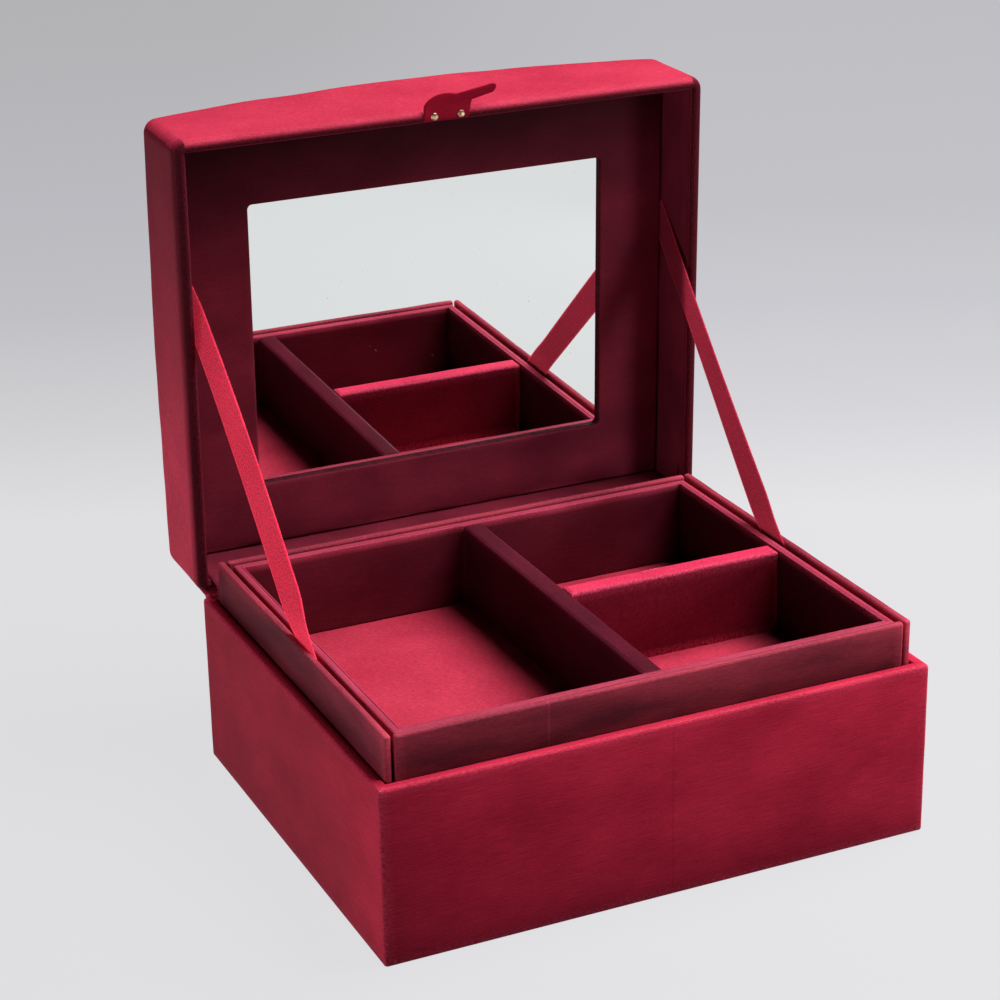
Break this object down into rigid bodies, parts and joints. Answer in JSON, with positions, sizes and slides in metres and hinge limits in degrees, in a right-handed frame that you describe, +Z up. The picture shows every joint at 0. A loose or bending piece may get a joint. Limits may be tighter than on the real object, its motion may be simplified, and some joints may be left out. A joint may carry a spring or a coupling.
{
  "type": "vanity box",
  "caption": "Cloth-covered jewellery box with a lift-out divided tray, a hinged arched lid held by ribbon stays, a mirror inside the lid and a pull tab on its rim.",
  "frame": {"origin": "centre of the underside of the base, on the surface that the box stands on", "axes": "+Z is up, the front with the pull tab faces -Y, +X is to the right seen from the front; the lid is stored open"},
  "size_m": [0.1824, 0.198, 0.2146],
  "materials": {
    "card": "grey bookbinder's card",
    "satin": "crimson satin",
    "satin_dark": "dark crimson satin",
    "satin_floor": "crimson satin over thin wadding",
    "ribbon": "grosgrain ribbon",
    "wadding": "white wadding",
    "mirror": "silvered glass",
    "rivet": "polished"
  },
  "bodies": {
    "base": {"base_floor_board": "card", "base_front_board": "card", "base_back_board": "card", "base_left_board": "card", "base_right_board": "card", "base_cover": "satin", "base_bottom_sheet": "satin_dark", "base_floor_pad": "satin_floor", "collar_front_board": "card", "collar_back_board": "card", "collar_left_board": "card", "collar_right_board": "card", "collar_front_cloth": "satin_dark", "collar_back_cloth": "satin_dark", "collar_left_cloth": "satin_dark", "collar_right_cloth": "satin_dark", "tray_ledge_left": "satin_dark", "tray_ledge_right": "satin_dark", "hinge_cloth": "satin", "hinge_lining": "satin_dark", "ribbon_left": "ribbon", "ribbon_right": "ribbon"},
    "tray": {"tray_floor_board": "card", "tray_bottom_sheet": "satin_dark", "tray_front_board": "card", "tray_back_board": "card", "tray_left_board": "card", "tray_right_board": "card", "tray_cloth": "satin", "long_divider_core": "card", "long_divider_cloth": "satin_dark", "short_divider_core": "card", "short_divider_cloth": "satin_floor", "tray_pad_left": "satin_floor", "tray_pad_rear": "satin_floor", "tray_pad_front": "satin_floor"},
    "lid": {"lid_front_board": "card", "lid_back_board": "card", "lid_left_board": "card", "lid_right_board": "card", "lid_top_board": "card", "lid_padding": "wadding", "lid_cover": "satin", "lid_lining": "satin_dark", "mirror_rest_left": "card", "mirror_rest_right": "card", "mirror_frame_board": "card", "mirror_frame_cloth": "satin_dark", "mirror_glass": "mirror", "mirror_backing": "card", "pull_tab_plate": "satin_floor", "pull_tab_rivets": "rivet", "pull_tab_bend": "satin_floor"},
    "tab": {"pull_tab_tongue": "satin_floor"}
  },
  "joints": [
    {"name": "lid_hinge", "type": "hinge", "parent": "base", "child": "lid", "pos_m": [0, 0.0745, 0.0571], "axis": [1, 0, 0], "range_deg": [0, 88.5], "deforming": ["ribbon_left", "ribbon_right", "hinge_cloth", "hinge_lining"]},
    {"name": "tray_lift", "type": "slide", "parent": "base", "child": "tray", "axis": [0, 0, 1], "range_m": [0, 0.008]},
    {"name": "tab_flex", "type": "hinge", "parent": "lid", "child": "tab", "pos_m": [0, 0.0712, 0.20792], "axis": [1, 0, 0], "range_deg": [-45, 45], "stiffness_Nm_per_rad": 0.00005, "deforming": ["pull_tab_bend"]}
  ]
}
